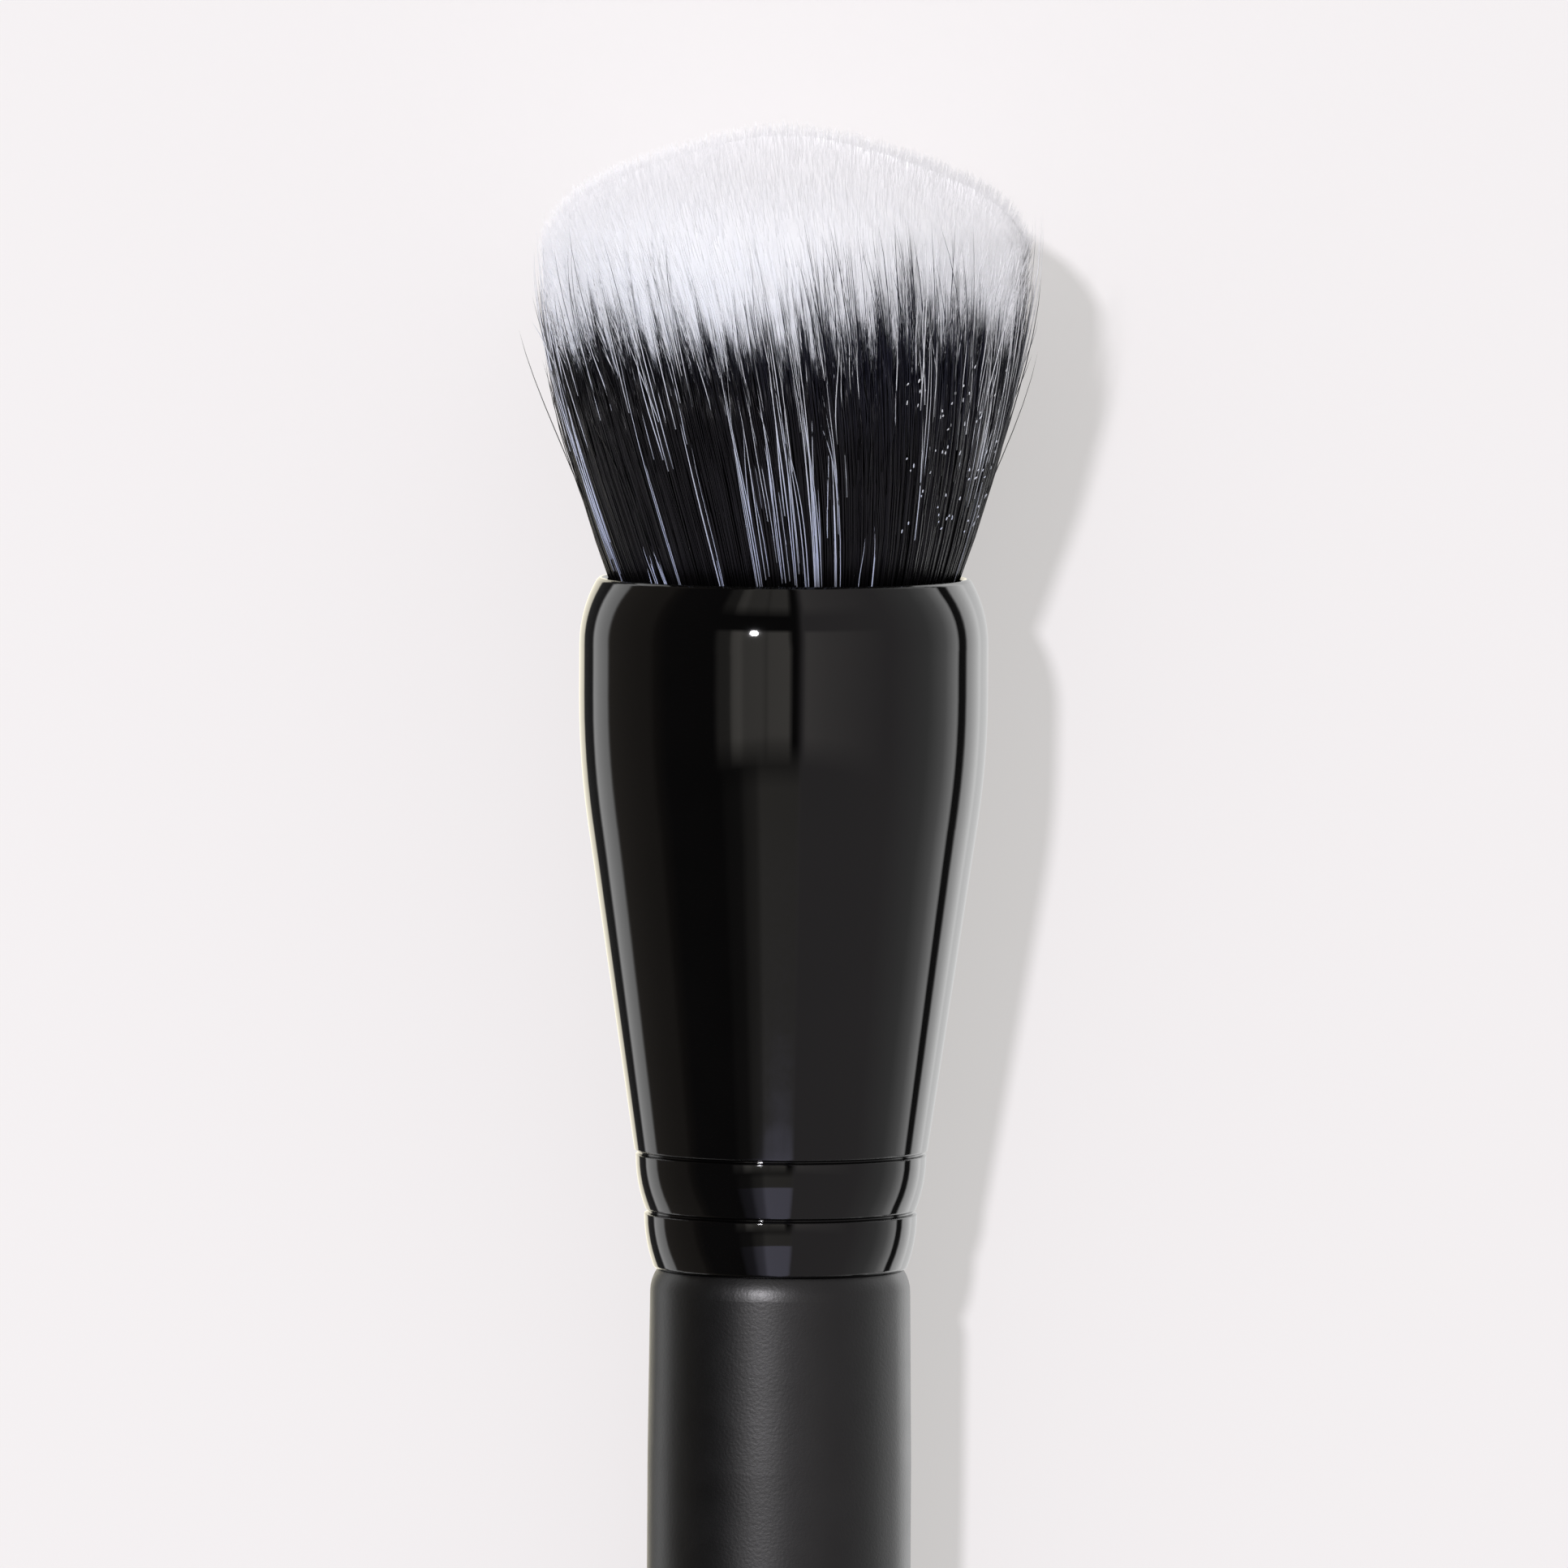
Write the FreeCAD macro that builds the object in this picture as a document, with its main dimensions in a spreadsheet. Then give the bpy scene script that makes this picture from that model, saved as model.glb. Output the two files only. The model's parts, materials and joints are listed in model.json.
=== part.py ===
import FreeCAD, Part

import math
import os

import Sketcher

# A stippling brush that lies on its side, in millimetres.
# Every piece is drawn upright on the brush's own axis: the butt of the handle is at height 0
# and the fibres point up. All pieces are then laid down together along +Y on the plane Z = 0,
# where the brush rests on its butt, its ferrule's belly and the fibres that it presses flat.

SIZES = {
    # handle, turned from one length of wood
    "handle_length": 105.0,
    "butt_radius": 4.6,
    "grip_radius": 8.15,
    "grip_length": 26.0,
    "grip_blend_radius": 80.0,
    "neck_length": 12.0,
    "neck_radius": 8.03,
    "handle_edge_drop": 1.4,
    "handle_edge_round": 2.5,
    "tenon_chamfer": 0.8,
    # ferrule, spun from one thin tube
    "hem_seat_gap": 0.05,
    "ferrule_length": 42.65,
    "ferrule_wall": 0.5,
    "rim_chamfer": 0.15,
    "belly_radius": 12.6,
    "belly_drop": 4.1,
    "mouth_curve_radius": 8.0,
    "cone_corner_drop": 11.2,
    "belly_blend_radius": 54.0,
    "cone_foot_radius": 9.05,
    "upper_band_height": 3.65,
    "upper_band_step": 0.08,
    "lower_band_height": 3.7,
    "lower_band_step": 0.06,
    "band_curve_radius": 9.5,
    "band_line_width": 0.3,
    "band_line_depth": 0.2,
    # adhesive sleeve around the tenon, and adhesive cup around the fibre roots
    "glue_gap": 0.04,
    "glue_around_tenon": 0.45,
    "glue_below_belly": 0.4,
    "glue_over_thread": 2.0,
    "glue_under_roots": 1.6,
    # binding thread, wound around the fibre roots
    "thread_diameter": 0.6,
    "thread_turns": 4,
    "thread_above_roots": 1.5,
    # fibres: short black ones around a core of long white ones
    "root_clearance": 1.9,
    "fibre_gap": 0.2,
    "core_root_radius": 5.2,
    "core_mouth_radius": 7.6,
    "core_crown_radius": 10.4,
    "tuft_length": 27.4,
    "tuft_radius": 15.5,
    "widest_height": 20.2,
    "dome_rim_radius": 14.5,
    "dome_drop": 5.4,
    "crown_height": 10.6,
    "crown_tip_rise": 5.4,
    "flare_power": 1.8,
    "dome_power": 1.5,
    "lock_count": 40,
    "lock_ridge": 0.2,
    "lock_tip_lift": 0.45,
}

# Worked out from the sizes. Heights run along the brush's axis, from the butt.
PLACES = {
    "hem": "sizes.handle_length + sizes.hem_seat_gap",
    "mouth": "hem + sizes.ferrule_length",
    "brush_top": "mouth + sizes.tuft_length",
    # handle: the straight taper is tangent to the round butt and blended into the grip
    "neck_top": "sizes.handle_length - sizes.handle_edge_drop",
    "grip_top": "sizes.handle_length - sizes.neck_length",
    "grip_foot": "grip_top - sizes.grip_length",
    "blend_offset": "sizes.grip_blend_radius - sizes.butt_radius",
    "axis_offset": "sizes.grip_blend_radius - sizes.grip_radius",
    "centre_rise": "grip_foot - sizes.butt_radius",
    "taper_angle": "asin(blend_offset / sqrt(centre_rise ^ 2 + axis_offset ^ 2))"
    " - atan(axis_offset / centre_rise)",
    "butt_edge_radius": "sizes.butt_radius * cos(taper_angle)",
    "butt_edge": "sizes.butt_radius - sizes.butt_radius * sin(taper_angle)",
    "taper_top_radius": "sizes.grip_blend_radius * cos(taper_angle) - axis_offset",
    "taper_top": "grip_foot - sizes.grip_blend_radius * sin(taper_angle)",
    "shoulder_radius": "sizes.neck_radius - sizes.handle_edge_round"
    " + sqrt(sizes.handle_edge_round ^ 2 - sizes.handle_edge_drop ^ 2)",
    # ferrule: a straight cone blended into the belly, with two bands below it
    "lower_band_top": "hem + sizes.lower_band_height",
    "cone_foot": "lower_band_top + sizes.upper_band_height",
    "cone_corner": "mouth - sizes.cone_corner_drop",
    "cone_angle": "atan((sizes.belly_radius - sizes.cone_foot_radius) / (cone_corner - cone_foot))",
    "blend_length": "sizes.belly_blend_radius * tan(cone_angle / 2)",
    "blend_top": "cone_corner + blend_length",
    "blend_foot": "cone_corner - blend_length * cos(cone_angle)",
    "blend_foot_radius": "sizes.belly_radius - blend_length * sin(cone_angle)",
    "belly_top": "mouth - sizes.belly_drop",
    "lip": "mouth - sizes.rim_chamfer",
    "lip_radius": "sizes.belly_radius - sizes.mouth_curve_radius"
    " + sqrt(sizes.mouth_curve_radius ^ 2 - (lip - belly_top) ^ 2)",
    "lip_inner_radius": "lip_radius - sizes.ferrule_wall",
    "rim_radius": "lip_radius - sizes.rim_chamfer",
    "rim_inner_radius": "lip_inner_radius + sizes.rim_chamfer",
    "inner_belly_radius": "sizes.belly_radius - sizes.ferrule_wall",
    "inner_mouth_curve": "sizes.mouth_curve_radius - sizes.ferrule_wall",
    "inner_lip": "belly_top + sqrt(inner_mouth_curve ^ 2"
    " - (lip_inner_radius - inner_belly_radius + inner_mouth_curve) ^ 2)",
    "inner_blend_radius": "sizes.belly_blend_radius - sizes.ferrule_wall",
    "inner_blend_foot": "blend_foot - sizes.ferrule_wall * sin(cone_angle)",
    "inner_blend_foot_radius": "blend_foot_radius - sizes.ferrule_wall * cos(cone_angle)",
    "inner_foot_radius": "sizes.cone_foot_radius - sizes.ferrule_wall / cos(cone_angle)",
    "upper_band_radius": "sizes.cone_foot_radius - sizes.upper_band_step",
    "upper_band_edge": "cone_foot - sizes.band_line_width",
    "upper_line_height": "cone_foot - sizes.band_line_width / 2",
    "upper_line_radius": "upper_band_radius - sizes.band_line_depth",
    "upper_band_foot_radius": "upper_band_radius - sizes.band_curve_radius"
    " + sqrt(sizes.band_curve_radius ^ 2 - (upper_band_edge - lower_band_top) ^ 2)",
    "lower_band_edge": "lower_band_top - sizes.band_line_width",
    "lower_line_height": "lower_band_top - sizes.band_line_width / 2",
    "lower_line_radius": "upper_band_foot_radius - sizes.band_line_depth",
    "lower_band_radius": "upper_band_foot_radius + sizes.lower_band_step",
    "hem_edge": "hem + sizes.rim_chamfer",
    "hem_radius": "lower_band_radius - sizes.band_curve_radius"
    " + sqrt(sizes.band_curve_radius ^ 2 - (lower_band_edge - hem_edge) ^ 2)",
    "hem_inner_radius": "hem_radius - sizes.ferrule_wall",
    "hem_end_radius": "hem_radius - sizes.rim_chamfer",
    "hem_end_inner_radius": "hem_inner_radius + sizes.rim_chamfer",
    # the adhesive cup ends below the belly; the thread, the roots and the tenon follow under it
    "cup_top": "blend_foot - sizes.glue_below_belly",
    "thread_slot_top": "cup_top - sizes.glue_over_thread",
    "thread_top": "thread_slot_top - sizes.glue_gap",
    "thread_foot": "thread_top - sizes.thread_diameter * sizes.thread_turns",
    "thread_slot_foot": "thread_foot - sizes.glue_gap",
    "root": "thread_foot - sizes.thread_above_roots",
    "cup_floor": "root - sizes.glue_gap",
    "cup_foot": "cup_floor - sizes.glue_under_roots",
    "tenon_top": "cup_foot - sizes.glue_gap",
    "tenon_edge": "tenon_top - sizes.tenon_chamfer",
    # adhesive: its outside follows the ferrule's cone, and the roots and the tenon keep inside it
    "sleeve_foot": "hem_edge + sizes.glue_gap",
    "sleeve_foot_radius": "hem_inner_radius - sizes.glue_gap",
    "sleeve_inner_radius": "sleeve_foot_radius - sizes.glue_around_tenon",
    "sleeve_bend_radius": "inner_foot_radius - sizes.glue_gap",
    "sleeve_top_radius": "sleeve_bend_radius + (tenon_edge - cone_foot) * tan(cone_angle)",
    "tenon_radius": "sleeve_inner_radius - sizes.glue_gap",
    "tenon_tip_radius": "tenon_radius - sizes.tenon_chamfer",
    "cup_foot_radius": "sleeve_bend_radius + (cup_foot - cone_foot) * tan(cone_angle)",
    "cup_top_radius": "sleeve_bend_radius + (cup_top - cone_foot) * tan(cone_angle)",
    "root_radius": "cup_foot_radius - sizes.root_clearance",
    "cup_bore": "root_radius + sizes.glue_gap",
    "thread_slot_radius": "cup_bore + sizes.thread_diameter + sizes.glue_gap",
    # fibres: inside the ferrule they keep clear of its wall
    "fibre_belly_radius": "inner_belly_radius - sizes.fibre_gap",
    "fibre_mouth_radius": "lip_inner_radius - sizes.fibre_gap",
}

LINE = None  # a straight edge of a profile; any other edge is an arc, as (radius cell, side)
AXIS = None  # a point on the brush's axis, or at its foot
RIGHT, LEFT = 1, -1  # the side to which an arc bulges, seen along the way the outline runs
SEWING_DISTANCE = 1e-4
THREAD_VALLEY = 0.6  # how far out the wound thread is between two turns, as a share of its diameter
WAVE_STEPS = 2.4, 0.9  # angles from station to station of two waves that together look uneven
LIFT_SPREAD = 0.4  # how much the lift of one fibre tip may differ, as a share
LOW_SPREAD, TIP_SPREAD = 0.1, 0.3  # how much the crown's low points and tips may, as its rise's share
CORE_SINK = 1 / 3  # how far the white core starts to widen below the crown, as its rise's share
TIP_RINGS = 5  # rings of fibre tips from the rim of the dome to its middle
FEWEST_LOCKS = 3  # in the ring around the middle of the dome


def fill_sheet(document, name, cells):
    """Writes each value or formula in a row of its own, under an alias."""
    sheet = document.addObject("Spreadsheet::Sheet", name)
    for row, (alias, content) in enumerate(cells.items(), start=1):
        formula = isinstance(content, str)
        sheet.set(f"A{row}", alias)
        sheet.set(f"B{row}", f"={content}" if formula else str(content))
        sheet.setAlias(f"B{row}", alias)
    document.recompute()
    return sheet


class Drawing:
    """The document with its two sheets, and the ways to draw from their cells."""

    def __init__(self):
        self.document = FreeCAD.newDocument("stippling_brush")
        self.sizes = fill_sheet(self.document, "sizes", SIZES)
        self.places = fill_sheet(self.document, "places", PLACES)
        self.nodes = []

    def sheet_of(self, alias):
        return self.sizes if alias in SIZES else self.places

    def value(self, alias):
        found = self.sheet_of(alias).get(alias)
        return float(getattr(found, "Value", found))

    def turned_body(self, label, outline):
        """A body turned about the brush's axis from a closed outline.

        The outline lists (radius cell, height cell, edge to the next point).
        """
        body = self.document.addObject("PartDesign::Body", label)
        body.Label = label
        upright = [plane for plane in body.Origin.OriginFeatures if plane.Role == "XZ_Plane"][0]
        sketch = body.newObject("Sketcher::SketchObject", f"{label}_profile")
        sketch.AttachmentSupport = (upright, [""])
        sketch.MapMode = "FlatFace"
        self.draw_edges(sketch, outline)
        self.constrain_edges(sketch, outline)
        turn = body.newObject("PartDesign::Revolution", f"{label}_turned")
        turn.Profile = (sketch, [""])
        turn.ReferenceAxis = (sketch, ["V_Axis"])
        turn.Angle = 360
        body.Tip = turn
        self.nodes.append(body)

    def draw_edges(self, sketch, outline):
        points = []
        for radius_cell, height_cell, _ in outline:
            radius = 0.0 if radius_cell is AXIS else self.value(radius_cell)
            height = 0.0 if height_cell is AXIS else self.value(height_cell)
            points.append(FreeCAD.Vector(radius, height, 0))
        ends = points[1:] + points[:1]
        for start, end, (_, _, edge) in zip(points, ends, outline):
            if edge is LINE:
                sketch.addGeometry(Part.LineSegment(start, end), False)
            else:
                sketch.addGeometry(arc_between(start, end, self.value(edge[0]), edge[1]), False)

    def constrain_edges(self, sketch, outline):
        """Joins each edge to the next, and ties each corner and arc to its cells."""
        # an arc is stored counterclockwise, so one that bulges left has its ends swapped
        ends = [(2, 1) if edge is not LINE and edge[1] == LEFT else (1, 2) for _, _, edge in outline]
        for number, (radius_cell, height_cell, edge) in enumerate(outline):
            following = (number + 1) % len(outline)
            start, end = ends[number]
            self.tie(sketch, "Coincident", number, end, following, ends[following][0])
            if radius_cell is AXIS:
                self.tie(sketch, "PointOnObject", number, start, -2)
            else:
                self.tie(sketch, "DistanceX", -1, 1, number, start, cell=radius_cell)
            if height_cell is AXIS:
                self.tie(sketch, "PointOnObject", number, start, -1)
            else:
                self.tie(sketch, "DistanceY", -1, 1, number, start, cell=height_cell)
            if edge is not LINE:
                self.tie(sketch, "Radius", number, cell=edge[0])

    def tie(self, sketch, kind, *where, cell=None):
        if cell is None:
            sketch.addConstraint(Sketcher.Constraint(kind, *where))
            return
        index = sketch.addConstraint(Sketcher.Constraint(kind, *where, self.value(cell)))
        sketch.setExpression(f"Constraints[{index}]", f"{self.sheet_of(cell).Name}.{cell}")

    def shaped_piece(self, label, shape):
        """A piece that no feature draws: its shape is worked out from the cells."""
        piece = self.document.addObject("Part::Feature", label)
        piece.Label = label
        piece.Shape = shape
        self.nodes.append(piece)

    def resting_placement(self):
        """Lays the upright brush along +Y so that it rests on the plane Z = 0.

        The plane is tangent to two arcs of the profile: the blend under the belly, and either
        the butt or the blend under the grip, whichever it meets first.
        """
        belly = self.arc("belly_blend_radius", "belly_radius", "blend_top")
        grip = self.arc("grip_blend_radius", "grip_radius", "grip_foot")
        butt = self.arc("butt_radius", "butt_radius", "butt_radius")
        tilt = min(tangent_angle(grip, belly), tangent_angle(butt, belly))
        radius, height, across = belly
        lift = radius + across * math.cos(tilt) - height * math.sin(tilt)
        # from the butt, which sticks out behind the axis's foot, to the tip of the fibres
        level_length = self.value("brush_top") * math.cos(tilt)
        overhang = butt[0] * (1 - math.cos(tilt))
        foot = FreeCAD.Vector(0, -(level_length - overhang) / 2, lift)
        lean = FreeCAD.Rotation(FreeCAD.Vector(1, 0, 0), math.degrees(tilt) - 90)
        return FreeCAD.Placement(foot, lean)

    def arc(self, arc_cell, widest_cell, height_cell):
        """An arc of the profile as its radius and its centre's height and distance off axis."""
        radius = self.value(arc_cell)
        return radius, self.value(height_cell), self.value(widest_cell) - radius


def tangent_angle(lower, upper):
    """The angle to the axis of the line that touches two arcs of the profile from outside."""
    rise, across = upper[1] - lower[1], upper[2] - lower[2]
    return math.asin((upper[0] - lower[0]) / math.hypot(rise, across)) + math.atan2(across, rise)


def arc_between(start, end, radius, side):
    """The shorter arc from start to end with this radius, which bulges to one side."""
    chord = end - start
    to_right = FreeCAD.Vector(chord.y, -chord.x, 0).normalize()
    inset = math.sqrt(max(radius**2 - (chord.Length / 2) ** 2, 0.0))
    bulge = (start + end) * 0.5 + to_right * side * (radius - inset)
    return Part.Arc(start, bulge, end)


def handle(drawing):
    """Turned wood: round butt, long taper, straight grip, neck, rounded edge and tenon."""
    drawing.turned_body(
        "handle",
        [
            (AXIS, AXIS, ("butt_radius", RIGHT)),
            ("butt_edge_radius", "butt_edge", LINE),
            ("taper_top_radius", "taper_top", ("grip_blend_radius", RIGHT)),
            ("grip_radius", "grip_foot", LINE),
            ("grip_radius", "grip_top", LINE),
            ("neck_radius", "neck_top", ("handle_edge_round", RIGHT)),
            ("shoulder_radius", "handle_length", LINE),
            ("tenon_radius", "handle_length", LINE),
            ("tenon_radius", "tenon_edge", LINE),
            ("tenon_tip_radius", "tenon_top", LINE),
            (AXIS, "tenon_top", LINE),
        ],
    )


def ferrule(drawing):
    """Spun tube: hem, two crowned bands under rolled lines, cone, belly and curved-in mouth."""
    drawing.turned_body(
        "ferrule",
        [
            ("hem_inner_radius", "hem_edge", LINE),
            ("hem_end_inner_radius", "hem", LINE),
            ("hem_end_radius", "hem", LINE),
            ("hem_radius", "hem_edge", ("band_curve_radius", RIGHT)),
            ("lower_band_radius", "lower_band_edge", LINE),
            ("lower_line_radius", "lower_line_height", LINE),
            ("upper_band_foot_radius", "lower_band_top", ("band_curve_radius", RIGHT)),
            ("upper_band_radius", "upper_band_edge", LINE),
            ("upper_line_radius", "upper_line_height", LINE),
            ("cone_foot_radius", "cone_foot", LINE),
            ("blend_foot_radius", "blend_foot", ("belly_blend_radius", RIGHT)),
            ("belly_radius", "blend_top", LINE),
            ("belly_radius", "belly_top", ("mouth_curve_radius", RIGHT)),
            ("lip_radius", "lip", LINE),
            ("rim_radius", "mouth", LINE),
            ("rim_inner_radius", "mouth", LINE),
            ("lip_inner_radius", "lip", LINE),
            ("lip_inner_radius", "inner_lip", ("inner_mouth_curve", LEFT)),
            ("inner_belly_radius", "belly_top", LINE),
            ("inner_belly_radius", "blend_top", ("inner_blend_radius", LEFT)),
            ("inner_blend_foot_radius", "inner_blend_foot", LINE),
            ("inner_foot_radius", "cone_foot", LINE),
        ],
    )


def tenon_glue(drawing):
    """The adhesive sleeve between the tenon and the ferrule's wall."""
    drawing.turned_body(
        "tenon_glue",
        [
            ("sleeve_inner_radius", "sleeve_foot", LINE),
            ("sleeve_foot_radius", "sleeve_foot", LINE),
            ("sleeve_bend_radius", "cone_foot", LINE),
            ("sleeve_top_radius", "tenon_edge", LINE),
            ("sleeve_inner_radius", "tenon_edge", LINE),
        ],
    )


def root_glue(drawing):
    """The adhesive plug: a floor under the fibre roots and a wall around them and the thread."""
    drawing.turned_body(
        "root_glue",
        [
            (AXIS, "cup_foot", LINE),
            ("cup_foot_radius", "cup_foot", LINE),
            ("cup_top_radius", "cup_top", LINE),
            ("cup_bore", "cup_top", LINE),
            ("cup_bore", "thread_slot_top", LINE),
            ("thread_slot_radius", "thread_slot_top", LINE),
            ("thread_slot_radius", "thread_slot_foot", LINE),
            ("cup_bore", "thread_slot_foot", LINE),
            ("cup_bore", "cup_floor", LINE),
            (AXIS, "cup_floor", LINE),
        ],
    )


def binding_thread(drawing):
    """Thread wound tightly around the fibre roots; its turns show as blunt ridges."""
    diameter, foot = drawing.value("thread_diameter"), drawing.value("thread_foot")
    inner = drawing.value("cup_bore")
    corners = [FreeCAD.Vector(inner, 0, foot)]
    for turn in range(int(drawing.value("thread_turns"))):
        for share_up, share_out in ((0.0, THREAD_VALLEY), (0.25, 1.0), (0.75, 1.0)):
            height = foot + diameter * (turn + share_up)
            corners.append(FreeCAD.Vector(inner + diameter * share_out, 0, height))
    top = drawing.value("thread_top")
    corners.append(FreeCAD.Vector(inner + diameter * THREAD_VALLEY, 0, top))
    corners.append(FreeCAD.Vector(inner, 0, top))
    section = Part.Face(Part.makePolygon(corners + corners[:1]))
    axis_foot, upwards = FreeCAD.Vector(0, 0, 0), FreeCAD.Vector(0, 0, 1)
    drawing.shaped_piece("binding_thread", section.revolve(axis_foot, upwards, 360))


class Tuft:
    """The fibres as two solids that interlock: a black collar and the white core within it.

    Both are built from rings of points. A ring has two stations for each lock of fibres: even
    stations are the ridges of black locks, and odd ones those of the white locks between them.
    The rings of the dome have fewer stations the nearer they are to its middle.
    """

    def __init__(self, drawing):
        self.value = drawing.value
        self.locks = int(self.value("lock_count"))
        self.mouth = self.value("mouth")
        self.resting = drawing.resting_placement()

    def wobble(self, station):
        """An uneven but fixed value between -1 and 1, so that no two locks are alike."""
        return math.sin(WAVE_STEPS[0] * station) * math.cos(WAVE_STEPS[1] * station)

    def ring(self, radius, height, ridge=0.0, lift=0.0, locks=None):
        """Points around the axis; ridge and lift push even stations out and up, odd ones back."""
        stations = 2 * (locks or self.locks)
        points = []
        for station in range(stations):
            angle = 2 * math.pi * station / stations
            side = 1 if station % 2 == 0 else -1
            out = radius + ridge * side
            up = height + lift * side * (1 + LIFT_SPREAD * self.wobble(station + stations))
            points.append(FreeCAD.Vector(out * math.cos(angle), out * math.sin(angle), up))
        return points

    def flare(self, height):
        """Radius of the tuft at a height above the mouth, up to its widest place."""
        share_left = 1 - min(height / self.value("widest_height"), 1.0)
        spread = self.value("tuft_radius") - self.value("fibre_mouth_radius")
        opened = 1 - share_left ** self.value("flare_power")
        return self.value("fibre_mouth_radius") + spread * opened

    def crown_edge(self):
        """The zigzag line on the outside of the tuft where black locks end in white ones."""
        points = []
        stations = 2 * self.locks
        for station in range(stations):
            rise = self.value("crown_tip_rise")
            height = self.value("crown_height") + LOW_SPREAD * rise * self.wobble(station)
            if station % 2 == 0:
                height += rise * (1 - TIP_SPREAD + TIP_SPREAD * self.wobble(3 * station))
            angle = 2 * math.pi * station / stations
            radius = self.flare(height)
            across = FreeCAD.Vector(radius * math.cos(angle), radius * math.sin(angle), 0)
            points.append(across + FreeCAD.Vector(0, 0, self.mouth + height))
        return points

    def core_rings(self):
        """The face between the white core and the black collar, from the crown down."""
        sink = CORE_SINK * self.value("crown_tip_rise")
        crown = self.mouth + self.value("crown_height") - sink
        return [
            self.ring(self.value("core_crown_radius"), crown),
            self.ring(self.value("core_mouth_radius"), self.mouth),
            self.ring(self.value("core_root_radius"), self.value("cup_top")),
            self.ring(self.value("core_root_radius"), self.value("root")),
        ]

    def collar_rings(self):
        """The outside of the black collar, from the roots up to the flare."""
        half_way = self.value("crown_height") / 2
        return [
            self.ring(self.value("root_radius"), self.value("root")),
            self.ring(self.value("root_radius"), self.value("cup_top")),
            self.ring(self.value("fibre_belly_radius"), self.value("blend_top")),
            self.ring(self.value("fibre_mouth_radius"), self.mouth),
            self.ring(self.flare(half_way), self.mouth + half_way, self.value("lock_ridge")),
        ]

    def dome_rings(self):
        """The outside of the white fibres above the crown: flare, widest place, rim and dome.

        On the dome, each ring of tips has a low ring inside it, so that the tips stand apart.
        """
        ridge, lift = -self.value("lock_ridge"), self.value("lock_tip_lift")
        widest = self.value("widest_height")
        above_crown = (self.value("crown_height") + self.value("crown_tip_rise") + widest) / 2
        rings = [
            self.ring(self.flare(above_crown), self.mouth + above_crown, ridge),
            self.ring(self.value("tuft_radius"), self.mouth + widest, ridge),
        ]
        rim, top = self.value("dome_rim_radius"), self.value("brush_top")
        for place in range(2 * TIP_RINGS):
            share = 1 - place / (2 * TIP_RINGS)
            height = top - self.value("dome_drop") * share ** self.value("dome_power") - lift
            locks = max(round(self.locks * share), FEWEST_LOCKS)
            if place % 2 == 0:
                rings.append(self.ring(rim * share, height, lift=lift, locks=locks))
            else:
                rings.append(self.ring(rim * share, height - lift, locks=locks))
        return rings

    def pressed(self, point):
        """A point of the tuft, moved up to the plane that the brush lies on if it is below it."""
        laid = self.resting.multVec(point)
        laid.z = max(laid.z, 0.0)
        return self.resting.inverse().multVec(laid)

    def solid(self, facets):
        """A closed solid of flat triangles, each given as three points."""
        points, numbers, triangles = [], {}, []
        for facet in facets:
            triangle = []
            for point in facet:
                key = tuple(round(value, 7) for value in point)
                if key not in numbers:
                    numbers[key] = len(points)
                    points.append(self.pressed(point))
                triangle.append(numbers[key])
            triangles.append(tuple(triangle))
        shell = Part.Shape()
        shell.makeShapeFromMesh((points, triangles), SEWING_DISTANCE)
        return Part.Solid(shell.Shells[0])

    def black_collar(self):
        """A closed loop of rings: up the outside, over the crown, down the core and back."""
        rings = self.collar_rings() + [self.crown_edge()] + self.core_rings()
        facets = []
        for lower, upper in zip(rings, rings[1:] + rings[:1]):
            facets += band(lower, upper)
        return self.solid(facets)

    def white_core(self):
        """From the middle of the roots up the core, out along the crown and over the dome."""
        rings = self.core_rings()[::-1] + [self.crown_edge()] + self.dome_rings()
        facets = fan(FreeCAD.Vector(0, 0, self.value("root")), rings[0][::-1])
        for lower, upper in zip(rings, rings[1:]):
            facets += band(lower, upper)
        return self.solid(facets + fan(FreeCAD.Vector(0, 0, self.value("brush_top")), rings[-1]))


def band(lower, upper):
    """The triangles between two rings, joined station by station.

    Rings with as many stations are joined in fours, and each four are split between the two
    that lie lower. So locks end in even points, and two solids that share a band fit.
    """
    if len(lower) != len(upper):
        return uneven_band(lower, upper)
    facets = []
    for station in range(len(lower)):
        following = (station + 1) % len(lower)
        a, b = lower[station], lower[following]
        d, c = upper[station], upper[following]
        if a.z + c.z <= b.z + d.z:
            facets += [(a, b, c), (a, c, d)]
        else:
            facets += [(a, b, d), (b, c, d)]
    return facets


def uneven_band(lower, upper):
    """The triangles between two rings of which one has more stations than the other."""
    facets = []
    low = high = 0
    while low < len(lower) or high < len(upper):
        from_low, from_high = lower[low % len(lower)], upper[high % len(upper)]
        if (low + 1) * len(upper) <= (high + 1) * len(lower):
            low += 1
            facets.append((from_low, lower[low % len(lower)], from_high))
        else:
            high += 1
            facets.append((from_low, upper[high % len(upper)], from_high))
    return facets


def fan(tip, ring):
    return [(start, end, tip) for start, end in zip(ring, ring[1:] + ring[:1])]


def fibres(drawing):
    tuft = Tuft(drawing)
    drawing.shaped_piece("black_fibres", tuft.black_collar())
    drawing.shaped_piece("white_fibres", tuft.white_core())


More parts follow.
